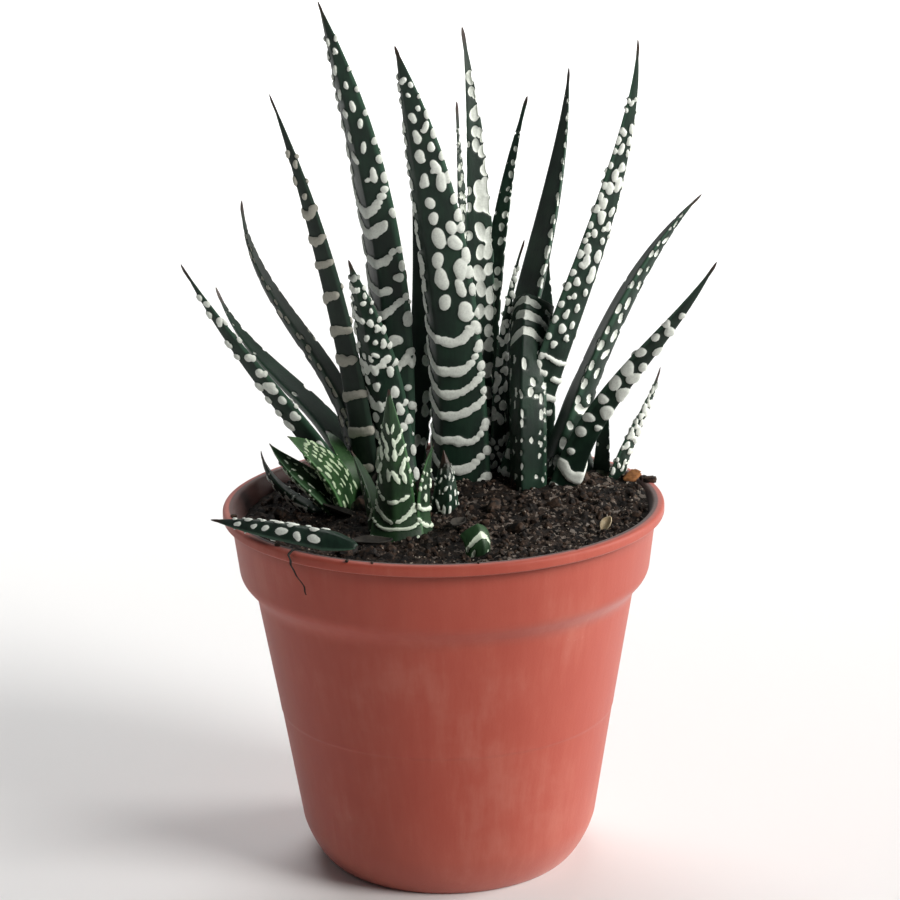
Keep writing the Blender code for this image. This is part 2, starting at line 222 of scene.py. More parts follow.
# %% Wire and Finish
class Wire:
    """A node's output that arithmetic works on."""

    def __init__(self, finish, socket):
        self.finish = finish
        self.socket = socket

    def math(self, operation, first, second):
        return self.finish.node("ShaderNodeMath", {"operation": operation}, [first, second])

    def __add__(self, other):
        return self.math("ADD", self, other)

    __radd__ = __add__

    def __sub__(self, other):
        return self.math("SUBTRACT", self, other)

    def __rsub__(self, other):
        return self.math("SUBTRACT", other, self)

    def __mul__(self, other):
        return self.math("MULTIPLY", self, other)

    __rmul__ = __mul__

    def __pow__(self, other):
        return self.math("POWER", self, other)


class Finish:
    """A Principled material. Constants are set on its sockets, and what varies is wired in."""

    def __init__(self, name, **constants):
        self.material = bpy.data.materials.new(name)
        self.material.use_nodes = True
        self.tree = self.material.node_tree
        self.shader = self.tree.nodes["Principled BSDF"]
        for key, value in constants.items():
            self.shader.inputs[key.replace("_", " ")].default_value = value
        self.places = self.node("ShaderNodeTexCoord", output="Object")

    def node(self, kind, settings=None, inputs=(), output=0):
        made = self.tree.nodes.new(kind)
        for key, value in (settings or {}).items():
            setattr(made, key, value)
        pairs = inputs.items() if isinstance(inputs, dict) else enumerate(inputs)
        for key, value in pairs:
            if isinstance(value, Wire):
                self.tree.links.new(value.socket, made.inputs[key])
            else:
                made.inputs[key].default_value = value
        return Wire(self, made.outputs[output])

    def attribute(self, name):
        return self.node("ShaderNodeAttribute", {"attribute_name": name}, output="Fac")

    def noise(self, cells_a_metre, detail=3.0, roughness=0.5, places=None):
        inputs = {"Vector": places or self.places, "Scale": cells_a_metre, "Detail": detail,
                  "Roughness": roughness}
        return self.node("ShaderNodeTexNoise", inputs=inputs)

    def stretched(self, x, y, z):
        """Object coordinates scaled by axis, so that a noise on them runs in streaks."""
        return self.node("ShaderNodeMapping", inputs={"Vector": self.places, "Scale": (x, y, z)})

    def step(self, value, low, high, start=0.0, end=1.0):
        """Start below low, end above high, and a smooth rise between."""
        inputs = {"Value": value, "From Min": low, "From Max": high, "To Min": start, "To Max": end}
        return self.node("ShaderNodeMapRange", {"interpolation_type": "SMOOTHSTEP"}, inputs)

    def mix(self, factor, first, second):
        first, second = (c if isinstance(c, Wire) else (*c, 1.0) for c in (first, second))
        inputs = {0: factor, 6: first, 7: second}
        return self.node("ShaderNodeMix", {"data_type": "RGBA"}, inputs, output=2)

    def bump(self, height, depth):
        """Wires a height, in units of depth metres, to the shader's normal."""
        inputs = {"Height": height, "Strength": 1.0, "Distance": depth}
        self.wire(Normal=self.node("ShaderNodeBump", inputs=inputs))

    def wire(self, **sockets):
        for key, value in sockets.items():
            self.tree.links.new(value.socket, self.shader.inputs[key.replace("_", " ")])


# %% [markdown]
# ## The floor
#
# A studio sweep: a plane whose far edge is extruded up in a curve, so that there is no horizon line.

# %% Sweep
SWEEP_HALF = 7.0
SWEEP_BACK = 3.0
SWEEP_CURVE = 0.8
SWEEP_WALL = 2.0
CURVE_STEPS = 10

bpy.ops.mesh.primitive_plane_add(size=2 * SWEEP_HALF, location=(0, SWEEP_BACK - SWEEP_HALF, 0))
sweep = bpy.context.object
sweep.name = "studio_sweep"
bpy.ops.object.transform_apply(location=True)
pick(sweep, lambda a, b: min(a.y, b.y) > SWEEP_BACK - 0.01, "EDGE")
for i in range(CURVE_STEPS):
    low, high = (math.pi / 2 * k / CURVE_STEPS for k in (i, i + 1))
    forward = SWEEP_CURVE * (math.sin(high) - math.sin(low))
    upward = SWEEP_CURVE * (math.cos(low) - math.cos(high))
    bpy.ops.mesh.extrude_region_move(TRANSFORM_OT_translate={"value": (0, forward, upward)})
bpy.ops.mesh.extrude_region_move(TRANSFORM_OT_translate={"value": (0, 0, SWEEP_WALL)})
bpy.ops.object.mode_set(mode="OBJECT")
bpy.ops.object.shade_smooth()
sweep_finish = Finish("studio_paper", Base_Color=(0.80, 0.80, 0.80, 1), Roughness=0.9)
sweep.data.materials.append(sweep_finish.material)
print("sweep faces:", len(sweep.data.polygons))

# %% [markdown]
# ## Reading a leaf from the frame
#
# Each leaf node is a plain eight-sided blade, whole near its tip and trimmed near its seat, where it
# makes room for its stem and its neighbours. To carry a finer leaf along the same line, the blade is
# cut by planes from the tip down. In each cut, the widest chord runs between the two edges of the
# blade; its middle is on the leaf's midline, and the deeper side is the keeled back.

# %% Cutting a node by a plane
def node_triangles(node):
    mesh = nodes[node].data
    mesh.calc_loop_triangles()
    index = np.empty(len(mesh.loop_triangles) * 3, np.int32)
    mesh.loop_triangles.foreach_get("vertices", index)
    return coordinates(mesh)[index.reshape(-1, 3)]


def outline(triangles, place, normal, reach):
    """The points where a plane crosses the triangles' edges, no further than reach from place."""
    height = (triangles - place) @ normal
    found = []
    for i, j in ((0, 1), (1, 2), (2, 0)):
        crossing = (height[:, i] > 0) != (height[:, j] > 0)
        a, b = triangles[crossing, i], triangles[crossing, j]
        share = height[crossing, i] / (height[crossing, i] - height[crossing, j])
        found.append(a + share[:, None] * (b - a))
    found = np.vstack(found)
    return found[np.linalg.norm(found - place, axis=1) < reach]


def unit(vector):
    return vector / np.linalg.norm(vector)


# %% Walking down a blade from its tip
STATION = 1.0 * MM  # distance between cuts, shorter on a small leaf


def walk(triangles, tip, heading, step, reach, side=None):
    """Cuts the blade every step from its tip, along its midline, and returns what each cut shows."""
    place, rows = tip, []
    for _ in range(400):
        found = outline(triangles, place + heading * step, heading, reach)
        if len(found) < 6:
            break
        across = side
        if side is None:
            across = np.linalg.svd(found - found.mean(0), full_matrices=False)[2][0]
        offset = found @ across
        left, right = found[offset.argmin()], found[offset.argmax()]
        middle = (left + right) / 2
        depth = unit(np.cross(heading, across))
        rows.append((middle, across, offset.max() - offset.min(), (found - middle) @ depth))
        if len(rows) > 4:
            heading = unit(0.6 * heading + 0.4 * unit(middle - rows[-5][0]))
        place = place + heading * step
        place = place + 0.5 * ((middle - place) - heading * ((middle - place) @ heading))
    return rows


def trace(node):
    """Midline, width and depths of one leaf node, as functions of the distance from its tip."""
    triangles = node_triangles(node)
    points = triangles.reshape(-1, 3)
    centre = points.mean(0)
    far = np.linalg.norm(points - centre, axis=1)
    tip = points[far.argmax()]
    length = far.max()
    close = points[np.linalg.norm(points - tip, axis=1) < 0.35 * length]
    heading = unit(close.mean(0) - tip)
    step = min(STATION, length / 16)
    reach = 9 * MM
    first = walk(triangles, tip, heading, step, reach)
    spread = sum(width * np.outer(across, across) for _, across, width, _ in first)
    side = np.linalg.eigh(spread)[1][:, -1]
    if side[0] < 0:
        side = -side
    rows = walk(triangles, tip, heading, step, reach, side)
    middles = np.array([tip] + [row[0] for row in rows])
    distance = np.concatenate([[0], np.cumsum(np.linalg.norm(np.diff(middles, axis=0), axis=1))])
    weight = np.ones(len(distance))
    for _ in range(6):
        curve = [np.polyfit(distance, middles[:, k], 3, w=weight) for k in range(3)]
        miss = np.linalg.norm(np.stack([np.polyval(c, distance) for c in curve], 1) - middles, axis=1)
        weight = 1 / (1 + (miss / (0.2 * MM)) ** 2)
    half = np.array([0] + [row[2] / 2 for row in rows])
    plus = np.array([0] + [row[3].max() for row in rows])
    minus = np.array([0] + [-row[3].min() for row in rows])
    back_sign = 1 if np.median(plus - minus) > 0 else -1
    back = plus if back_sign > 0 else minus
    return {
        "curve": curve,
        "distance": distance,
        "side": side,
        "back_sign": back_sign,
        "half": np.maximum.accumulate(half),
        "back": np.maximum.accumulate(back),
        "length": distance[-1],
    }


leaf_nodes = sorted(name for name in nodes if "leaf" in name)
traces = {name: trace(name) for name in leaf_nodes}
for name in leaf_nodes:
    t = traces[name]
    sizes = [round(v / MM, 1) for v in (t["length"], 2 * t["half"][-1], t["back"][-1])]
    print(name, "length, width, back:", sizes)

# %% [markdown]
# ## The leaf blank
#
# Every leaf is the same thing stretched differently: a closed tube with a point at one end. It is
# modelled once, as a cylinder subdivided along its length, with its tip ring merged and its base
# filled. Each leaf is a copy of this blank with its own mesh, fitted along its traced midline.

# %% One blank, three finenesses
def leaf_blank(name, around, cuts):
    """A tube from z = 0 at its base to z = 1 at its tip, cut (cuts + 1) ** 2 times along its length."""
    deselect_all()
    bpy.ops.mesh.primitive_cylinder_add(vertices=around, radius=1, depth=1, end_fill_type="NOTHING",
                                        location=(0, 0, 0.5))
    blank = bpy.context.object
    bpy.ops.object.transform_apply(location=True)
    for _ in range(2):
        pick(blank, lambda a, b: abs(a.z - b.z) > 1e-6, "EDGE")
        bpy.ops.mesh.subdivide(number_cuts=cuts)
    pick(blank, lambda x, y, z: z > 1 - 1e-6)
    bpy.ops.mesh.merge(type="CENTER")
    pick(blank, lambda x, y, z: z < 1e-6)
    bpy.ops.mesh.edge_face_add()
    face_outwards()
    bpy.ops.object.shade_smooth()
    blank.name = name
    print(name, "faces:", len(blank.data.polygons))
    return blank


LARGE, MIDDLE, SMALL = 80, 64, 48  # points round the leaf
blanks = {LARGE: leaf_blank("large_blank", LARGE, 18), MIDDLE: leaf_blank("middle_blank", MIDDLE, 15),
          SMALL: leaf_blank("small_blank", SMALL, 11)}

# %% [markdown]
# A haworthia leaf is flat or slightly hollow on the face towards the rosette, and keeled like a boat
# on its back. Across runs from -1 to 1 between the two margins. The back's height is part V and part
# round, and the V's keel may stand off centre, as it does on a leaf that has turned while it grew.
# The blank's rings are drawn together towards the tip, where the leaf is finest.

# %% Fitting the blank along a midline
TIP_WIDTH = 0.42 * MM  # half the width of a leaf's blunt point
TIP_REACH = 1.6 * MM
TIP_CROWDING = 1.12


def leaf_surface(blank, around, t, look):
    """The blank's vertices on one leaf, and for each its distance from the tip, angle and ring."""
    local = coordinates(blank.data)
    angle = np.mod(np.arctan2(local[:, 1], local[:, 0]) + math.pi + 0.001, math.tau) - math.pi
    share = 1 - local[:, 2]
    pointed = share < 1e-6
    distance = t["length"] * share ** TIP_CROWDING
    middle = np.stack([np.polyval(c, distance) for c in t["curve"]], 1)
    hook_reach, hook_bend = look["hooked"]
    middle[:, 0] += np.clip(1 - distance / (hook_reach * MM), 0, 1) ** 2 * hook_bend * MM
    heading = unit_rows(np.stack([np.polyval(np.polyder(c), distance) for c in t["curve"]], 1))
    side = unit_rows(t["side"] - heading * (heading @ t["side"])[:, None])
    outward = np.cross(heading, side) * t["back_sign"]
    twist = math.radians(look["twist"])
    side, outward = (math.cos(twist) * side + math.sin(twist) * outward,
                     math.cos(twist) * outward - math.sin(twist) * side)
    half = np.interp(distance, t["distance"], t["half"])
    half = half * look["wide"] * (1 + look["flare"] * np.clip((share - 0.6) / 0.4, 0, 1) ** 2)
    blunt = TIP_WIDTH * np.sqrt(np.clip(distance / TIP_REACH, 0, 1))
    half = np.maximum(half, np.minimum(blunt, 0.16 * half.max()))
    if look["closed"]:
        half = half * np.sqrt(np.clip((1.004 - share) / look["closed"], 0, 1))
    across = np.cos(angle)
    keel_shift, sharpness = look["keel"], look["sharp"]
    rise = np.sin(angle)
    keel = np.where(across < keel_shift, (across + 1) / (keel_shift + 1), (1 - across) / (1 - keel_shift))
    round_back = np.abs(rise) ** 1.1
    back = sharpness * keel ** 0.92 + (1 - sharpness) * round_back
    upper = 0.55 * np.sin(np.abs(angle)) ** 0.7 * (0.55 + 0.45 * across ** 2)
    height = np.where(rise < 0, back * t["deep"], -upper * t["flat"]) * half
    places = middle + side * (across * half)[:, None] + outward * height[:, None]
    places[pointed] = middle[pointed]
    ring = np.round(share * ((len(local) - 1) // around)).astype(int)
    return places, distance, angle, ring


def unit_rows(rows):
    return rows / np.linalg.norm(rows, axis=1)[:, None]


for name in leaf_nodes:
    t = traces[name]
    whole = slice(2, max(6, int(0.55 * len(t["half"]))))
    t["deep"] = float(np.median(t["back"][whole] / t["half"][whole]))
    t["flat"] = 0.28 * t["deep"]
    print(name, "depth of the back over half the width:", round(t["deep"], 2))

# %% [markdown]
# ## White tubercles
#
# Zebra markings are rows of raised white beads. Towards the tip they are separate ovals, and lower
# down they run together into wavy cross bands, each sagging to the keel like a U. A bead is an
# ellipse on the leaf's surface: how far across it lies (-1 and 1 are the margins, 0 is the keel),
# how far from the tip, and its two radii. A band is a chain of beads that overlap.

# %% Laying out the beads of one leaf
BEAD_RISE = 0.42 * MM
RISE_STEPS = 20


def bands(rng, length, look):
    """Beads as rows of (face, across, distance from the tip, radius across, radius along, turn)."""
    beads = []
    y = look["start"]
    while y < length * (1 - look["closed"]) - 1.5:
        share = y / length
        spacing = look["spacing"] * (0.72 + 0.4 * share) * rng.uniform(0.85, 1.15)
        size = look["size"] * (0.38 + 0.66 * min(1.0, y / look["grown"])) * rng.uniform(0.88, 1.12)
        if y < look["fused"]:
            for lane in look["lanes"]:
                if rng.random() < look["cover"]:
                    stagger = spacing * (0.5 if abs(lane) > 0.4 else 0.0) + rng.normal(0, 0.12 * spacing)
                    stretch = rng.uniform(0.9, 1.5) * look["tall"]
                    one = size * rng.uniform(0.7, 1.15)
                    middle = lane + rng.normal(0, 0.05)
                    beads.append(("back", middle, y + stagger, one, one * stretch, rng.normal(0, 0.3)))
                    if rng.random() < look["paired"]:
                        beads.append(("back", middle + rng.uniform(-0.22, 0.22), y + stagger + 0.8 * one,
                                      0.75 * one, 0.75 * one, 0.0))
        else:
            beads += wavy_band(rng, y, size, look)
        for lane in look["edges"]:
            if rng.random() < 0.95:
                one = size * rng.uniform(0.65, 0.95)
                beads.append(("back", lane, y + rng.normal(0, 0.15 * spacing), one,
                              one * rng.uniform(1.0, 1.7), 0.0))
        for lane in look["front"]:
            if rng.random() < look["cover"]:
                one = size * rng.uniform(0.8, 1.15)
                beads.append(("upper", lane + rng.normal(0, 0.06), y + rng.normal(0, 0.12 * spacing), one,
                              one * rng.uniform(1.0, 1.4) * look["tall"], rng.normal(0, 0.2)))
        if rng.random() < look["inner"]:
            for lane in (-0.82, 0.82):
                one = size * rng.uniform(0.45, 0.8)
                beads.append(("upper", lane + rng.normal(0, 0.06), y + rng.normal(0, 0.2 * spacing), one,
                              one * rng.uniform(0.9, 1.4), 0.0))
        y += spacing
    return beads


def wavy_band(rng, y, size, look):
    """One cross band: a chain of beads from margin to margin, broken here and there."""
    beads = []
    left, right = -0.95 + rng.uniform(0, 0.15), 0.95 - rng.uniform(0, 0.15)
    across = left
    dip = look["dip"] * rng.uniform(0.7, 1.2)
    wave, phase = rng.uniform(0.1, 0.5) * size, rng.uniform(0, 6.3)
    while across < right:
        along = y + dip * (1 - abs(across / 0.95) ** 2.3) + wave * math.sin(5 * across + phase)
        thick = size * look["thick"] * rng.uniform(0.8, 1.2) * (1.15 - 0.35 * abs(across))
        beads.append(("back", across, along, thick * 1.25, thick, 0.0))
        across += look["chain"] * rng.uniform(0.8, 1.2)
        if rng.random() < look["broken"]:
            across += look["gap"]
    return beads


# %% [markdown]
# Each bead lifts the vertices under it. The lift is kept as a mask, which is 1 on a bead's top and
# falls through 0 at its rim: the material turns white where the mask is above 0. The rise itself is
# a Displace modifier, which reads a vertex group and is applied.

# %% Raising the beads
def bead_mask(places, distance, angle, ring, around, beads, rng):
    """The mask at each vertex. Each ring is unrolled, so that a bead has its real width."""
    mask = np.full(len(places), -1.0)
    rings = np.lexsort((angle, ring))[1:].reshape(-1, around)  # the first is the merged tip
    at = distance[rings[:, 0]] / MM
    turn = angle[rings[0]]
    point = places[rings]
    step = np.linalg.norm(np.roll(point, -1, 1) - point, axis=2) / MM
    arc = np.concatenate([np.zeros((len(rings), 1)), np.cumsum(step, axis=1)[:, :-1]], axis=1)
    keel = np.abs(turn + math.pi / 2).argmin()
    upper_keel = np.abs(turn - math.pi / 2).argmin()
    right, left = np.abs(turn).argmin(), 0
    across = {"back": arc - arc[:, [keel]], "upper": -(arc - arc[:, [upper_keel]])}
    reach = {"back": (arc[:, right] - arc[:, keel], arc[:, keel] - arc[:, left]),
             "upper": (arc[:, upper_keel] - arc[:, right], arc[:, upper_keel] - arc[:, right])}
    values = np.full(rings.shape, -1.0)
    wobble = rng.normal(0, 1, (len(beads), 4))
    for (face, lane, y, wide, tall, lean), w in zip(beads, wobble):
        rows = slice(*np.searchsorted(at, (y - 1.8 * max(tall, wide), y + 1.8 * max(tall, wide))))
        if rows.start >= rows.stop:
            continue
        edge = reach[face][0 if lane > 0 else 1][rows].mean()
        dx = across[face][rows] - lane * edge
        dy = at[rows, None] - y
        c, s = math.cos(lean), math.sin(lean)
        bearing = np.arctan2(dy, dx)
        rim = 1 + 0.07 * w[0] * np.sin(2 * bearing + w[1]) + 0.06 * w[2] * np.sin(3 * bearing + w[3])
        reach_squared = (((dx * c + dy * s) / wide) ** 2 + ((dy * c - dx * s) / tall) ** 2) / rim ** 2
        np.maximum(values[rows], 1 - reach_squared, out=values[rows])
    mask[rings] = values
    return np.clip(mask, -1, 1)


def raise_beads(leaf, mask, rise):
    """Displaces the leaf along its normals, in steps of weight."""
    group = leaf.vertex_groups.new(name="tubercles")
    height = np.clip(mask / 0.75, 0, 1) ** 0.5
    level = np.round(height * RISE_STEPS).astype(int)
    for k in range(1, RISE_STEPS + 1):
        group.add(np.flatnonzero(level == k).tolist(), k / RISE_STEPS, "REPLACE")
    apply_modifier(leaf, "DISPLACE", vertex_group="tubercles", strength=rise, mid_level=0.0)
    leaf.vertex_groups.clear()


# %% [markdown]
# ## The leaf's finish
#
# Under its beads a leaf is a deep, slightly blue green with a waxy sheen. It has fine lengthwise
# streaks and a brown dry tip. Its margins are painted paler, for light that shines through the thin
# edges: painted light. A dark ring of painted shade lies round the foot of each bead. Where the
# pattern follows the leaf it reads attributes kept on the mesh: the mask, the distance from the tip,
# and how near the margin is.

# %% Leaf material
DRY_TIP = (0.035, 0.016, 0.010)


def leaf_finish(name, dark, fresh, bead, tip_reach=7.0):
    skin = Finish(name, Specular_IOR_Level=0.32)
    mask = skin.attribute("tubercle")
    from_tip = skin.attribute("from_tip")
    margin = skin.attribute("margin")
    streak = skin.noise(1.0, 4.0, 0.6, skin.stretched(1400, 1400, 90))
    cloud = skin.noise(170.0, 3.0)
    speck = skin.noise(2600.0, 2.0)
    tone = skin.step(cloud + 0.5 * streak, 0.50, 1.05)
    green = skin.mix(tone, dark, fresh)
    # Painted light: the margins are painted much paler, for light that shines through the thin leaf
    # edges.
    pale = tuple(min(1.0, 2.3 * c + 0.012) for c in fresh)
    green = skin.mix(skin.step(margin + 0.08 * streak, 0.90, 1.02) * 0.75, green, pale)
    green = skin.mix(skin.step(from_tip + 5.0 * cloud, 3.0, tip_reach, 1.0, 0.0), green, DRY_TIP)
    white = skin.mix(skin.step(speck, 0.35, 0.75), bead, tuple(0.86 * c for c in bead))
    grown = skin.step(from_tip, 2.0, 6.0)
    on_bead = skin.step(mask + 0.10 * (speck - 0.5), -0.04, 0.14) * grown
    # Painted shade: a dark ring round the foot of each raised bead.
    bead_foot_shade = skin.step(mask, -0.55, 0.0) * (1 - on_bead) * 0.35
    colour = skin.mix(bead_foot_shade, green, tuple(0.6 * a for a in dark))
    skin.wire(Base_Color=skin.mix(on_bead, colour, white))
    skin.wire(Roughness=0.40 + 0.16 * streak + 0.14 * on_bead)
    skin.bump(0.5 * streak + 0.5 * speck, 0.00006)
    return skin.material


deep_leaf = leaf_finish("leaf_deep_green", (0.0045, 0.015, 0.0095), (0.011, 0.036, 0.020),
                        (0.80, 0.84, 0.77))
# Painted shade: leaf_shaded is a copy of the deep green finish with duller green and grey-beige beads,
# for leaves that stand in shade.
shaded_leaf = leaf_finish("leaf_shaded", (0.0060, 0.014, 0.0095), (0.013, 0.030, 0.019),
                          (0.50, 0.49, 0.42))
young_leaf = leaf_finish("leaf_young", (0.008, 0.026, 0.010), (0.022, 0.066, 0.021), (0.70, 0.80, 0.64),
                         tip_reach=4.0)
bright_leaf = leaf_finish("leaf_bright", (0.014, 0.044, 0.014), (0.045, 0.120, 0.037), (0.56, 0.70, 0.46),
                          tip_reach=5.0)

# %% [markdown]
# ## Making the leaves
#
# Each leaf's look is a short list of habits, with lengths in millimetres. Its beads start that far from
# the tip; spacing and size are those of a full-grown row, fused is where ovals give way to bands, dip
# is how deep a band sags, and lanes are the columns of ovals. Wide and flare widen the leaf and its
# foot, twist turns it about its midline, closed rounds off the foot of a leaf that has dropped, and
# hooked is the reach and the sideways bend of its tip.

# %% Habits of the leaves
NEVER = 999.0  # further from the tip than any leaf is long
usual = {
    "start": 6.0, "spacing": 4.6, "size": 0.9, "grown": 34.0, "tall": 1.25, "paired": 0.25,
    "fused": 45.0, "dip": 2.4, "thick": 0.85, "chain": 0.12, "broken": 0.08, "gap": 0.22,
    "lanes": (-0.55, 0.0, 0.55), "cover": 0.93, "edges": (-0.93, 0.93), "inner": 0.45, "front": (),
    "keel": 0.0, "sharp": 0.55, "twist": 0.0, "wide": 1.0, "flare": 0.14, "closed": 0.0,
    "hooked": (1.0, 0.0), "finish": deep_leaf,
}
spotted = dict(usual, fused=NEVER)
dotted = dict(spotted, spacing=3.4, size=0.75, lanes=(-0.72, -0.36, 0.0, 0.36, 0.72), cover=0.82)
pup = dict(usual, start=5.0, spacing=2.6, size=0.52, grown=12.0, fused=11.0, dip=1.8, chain=0.11,
           inner=0.15, finish=young_leaf)
side_pup = dict(pup, finish=bright_leaf, fused=NEVER, lanes=(-0.72, -0.4, -0.1, 0.2, 0.5, 0.8), tall=2.8,
                size=0.34, inner=0.5, cover=0.95)
small_pup = dict(pup, wide=1.25, finish=deep_leaf, lanes=(-0.6, -0.2, 0.2, 0.6), tall=2.4, size=0.36,
                 fused=NEVER, start=3.0, spacing=2.2)
habits = {
    "left_leaf_1": dict(usual, fused=50.0, front=(0.4,)),
    "left_leaf_2": dict(usual, start=8.0, fused=33.0, spacing=6.0, size=1.0, keel=0.35, sharp=0.7,
                        tall=1.6, grown=40.0, lanes=(-0.5, 0.1, 0.55), dip=4.4),
    "left_leaf_3": dict(usual, start=12.0, fused=20.0, spacing=7.0, dip=0.9, size=1.0, thick=0.9,
                        finish=shaded_leaf, edges=()),
    "left_leaf_4": dict(dotted, size=0.95, spacing=4.2, lanes=(-0.7, -0.4, -0.05, 0.3, 0.65), cover=0.85,
                        wide=1.05, start=4.0),
    "left_leaf_5": dict(spotted, cover=0.5, finish=shaded_leaf, size=0.85, spacing=4.0, flare=0.6),
    "left_leaf_6": dict(spotted, size=1.1, spacing=4.0, lanes=(0.1, 0.7), tall=1.1, edges=(), start=8.0,
                        cover=0.85, grown=25.0, flare=0.1, wide=1.12),
    "left_leaf_7": dict(spotted, flare=0.5, wide=1.5, size=0.9, spacing=3.8, lanes=(0.1, 0.5, 0.85),
                        edges=(), cover=0.75),
    "middle_leaf_1": dict(usual, fused=60.0, size=1.15, lanes=(0.1, 0.6), front=(0.05, 0.62), start=10.0,
                          cover=0.95),
    "middle_leaf_2": dict(dotted, front=(-0.3, 0.4)),
    "middle_leaf_3": dict(dotted, front=(0.35,), start=9.0, size=0.62),
    "middle_leaf_4": dict(spotted, cover=0.9, spacing=3.9, front=(0.86,), inner=0.0, size=0.75),
    "middle_leaf_5": dict(spotted, size=0.95),
    "middle_leaf_6": dotted,
    "middle_leaf_7": dict(usual, start=7.0, fused=57.0, spacing=5.0, size=1.2, keel=-0.35,
                          lanes=(-0.72, 0.05, 0.6), tall=1.4, dip=4.6, cover=0.96, grown=46.0,
                          broken=0.02, thick=0.72),
    "middle_leaf_8": dict(usual, hooked=(12.0, -0.6), fused=60.0, spacing=3.5, size=0.8, start=11.0,
                          cover=0.9, lanes=(-0.66, -0.25, 0.2, 0.6), dip=1.8, thick=0.75),
    "right_leaf_1": dict(usual, flare=0.5, fused=46.0, lanes=(-0.62, -0.15, 0.45), spacing=4.2),
    "right_leaf_2": dict(dotted, fused=30.0, size=0.8, spacing=3.0),
    "right_leaf_3": dict(spotted, size=1.25, spacing=5.0, lanes=(-0.75, -0.2), tall=1.1, edges=(),
                         start=14.0, fused=52.0, grown=30.0),
    "right_pup_leaf_1": dict(dotted, size=0.5, start=4.0, spacing=2.2, grown=12.0),
    "right_pup_leaf_2": dict(dotted, size=0.6, start=4.0, spacing=2.4, grown=12.0),
    "right_pup_leaf_3": dict(dotted, size=0.5, start=4.0, spacing=2.2, grown=12.0),
    "front_pup_leaf_1": dict(pup, start=8.0, lanes=(-0.62, -0.22, 0.18, 0.58), tall=2.6, size=0.44,
                             fused=17.5, spacing=3.2, dip=3.0, broken=0.14, paired=0.0, thick=1.0),
    "front_pup_leaf_2": dict(pup, start=3.5, fused=6.0, thick=0.75, spacing=3.1, dip=3.0, broken=0.0,
                             edges=()),
    "side_pup_leaf_1": dict(side_pup, twist=50.0, front=(-0.7, -0.35, 0.0, 0.35, 0.7)),
    "side_pup_leaf_2": side_pup,
    "side_pup_leaf_3": dict(side_pup, finish=young_leaf, twist=35.0, front=(-0.4, 0.4)),
    "side_pup_leaf_4": dict(side_pup, finish=deep_leaf),
    "small_pup_leaf_1": small_pup,
    "small_pup_leaf_2": small_pup,
    "bud_leaf": dict(pup, start=1.8, lanes=(-0.66, -0.3, 0.1, 0.5), tall=2.4, size=0.36, fused=5.6,
                     spacing=1.9, edges=(-0.9, 0.9), grown=6.0, paired=0.0),
    "shed_leaf": dict(spotted, lanes=(-0.5, 0.1, 0.6), size=0.78, spacing=4.2, start=6.0, closed=0.16,
                      grown=16.0, tall=1.4, edges=()),
}


# %% Growing every leaf
LONG_LEAF = 70 * MM
SHORT_LEAF = 36 * MM
FIRST_SEED = 40


def grow(name, seed):
    """One finished leaf over its node."""
    t, look = traces[name], habits.get(name, pup if "pup" in name else usual)
    rng = np.random.default_rng(seed)
    around = LARGE if t["length"] > LONG_LEAF else MIDDLE if t["length"] > SHORT_LEAF else SMALL
    blank = blanks[around]
    leaf = own_copy(blank)
    places, distance, angle, ring = leaf_surface(blank, around, t, look)
    beads = bands(rng, t["length"] / MM, look)
    mask = bead_mask(places, distance, angle, ring, around, beads, rng)
    set_coordinates(leaf.data, places)
    raise_beads(leaf, mask, BEAD_RISE * (0.7 if around == SMALL else 1.0))
    store(leaf.data, "tubercle", mask)
    store(leaf.data, "from_tip", distance / MM)
    store(leaf.data, "margin", np.abs(np.cos(angle)))
    place_piece(leaf, name + "_fine", look["finish"], [name])
    return leaf


leaves = [grow(name, FIRST_SEED + i) for i, name in enumerate(leaf_nodes)]
for blank in blanks.values():
    bpy.data.objects.remove(blank)
print("leaves:", len(leaves), "faces:", sum(len(leaf.data.polygons) for leaf in leaves))

# %% [markdown]
# ## The pot
#
# A thin-walled nursery pot, injection moulded in one piece: a rounded lip, a collar, a shoulder, a
# tapering body with a rounded foot, and a ring channel underneath with drain holes. It could be one
# profile spun about the axis. Here a circle is extruded ring by ring up the inside, over the lip and
# down the outside, which leaves each step open to a different radius and an even, fine surface.

# %% The pot's profile, as (radius, height) in millimetres
LIP_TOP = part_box("pot")[1][2] / MM
LIP_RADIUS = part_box("pot")[1][0] / MM
COLLAR_RADIUS = LIP_RADIUS - 1.6
SHOULDER = LIP_TOP - 13.5
WALL = 1.2
FLOOR = 2.5
BODY_FOOT = 29.0  # radius where the straight side meets the rounded foot
FOOT_FLAT = 24.0  # and where the foot meets the base
FOOT_TOP = 9.0
FOOT_EASE = 1.5  # 1 is a quarter of an ellipse, and more is flatter
FOOT_STEPS = 12
SOFT_STEPS = 5


def rounded_foot(inset, bottom):
    """Points down the foot, from the straight side to the base."""
    radius, flat = BODY_FOOT - inset, FOOT_FLAT - inset
    turns = [math.pi / 2 * i / FOOT_STEPS for i in range(1, FOOT_STEPS + 1)]
    return [(flat + (radius - flat) * max(0.0, math.cos(a)) ** FOOT_EASE,
             FOOT_TOP - (FOOT_TOP - bottom) * math.sin(a) ** FOOT_EASE, 0.0) for a in turns]


def softened(corners):
    """Replaces each (radius, height, cut) by a small curve that starts cut millimetres from it."""
    points = []
    for i, (r, z, cut) in enumerate(corners):
        here = Vector((r, z))
        if cut == 0 or i in (0, len(corners) - 1):
            points.append((r, z))
            continue
        before, after = Vector(corners[i - 1][:2]), Vector(corners[i + 1][:2])
        first = here + (before - here).normalized() * min(cut, (before - here).length * 0.45)
        last = here + (after - here).normalized() * min(cut, (after - here).length * 0.45)
        for k in range(SOFT_STEPS + 1):
            s = k / SOFT_STEPS
            points.append(tuple(first * (1 - s) ** 2 + here * 2 * s * (1 - s) + last * s ** 2))
    return points


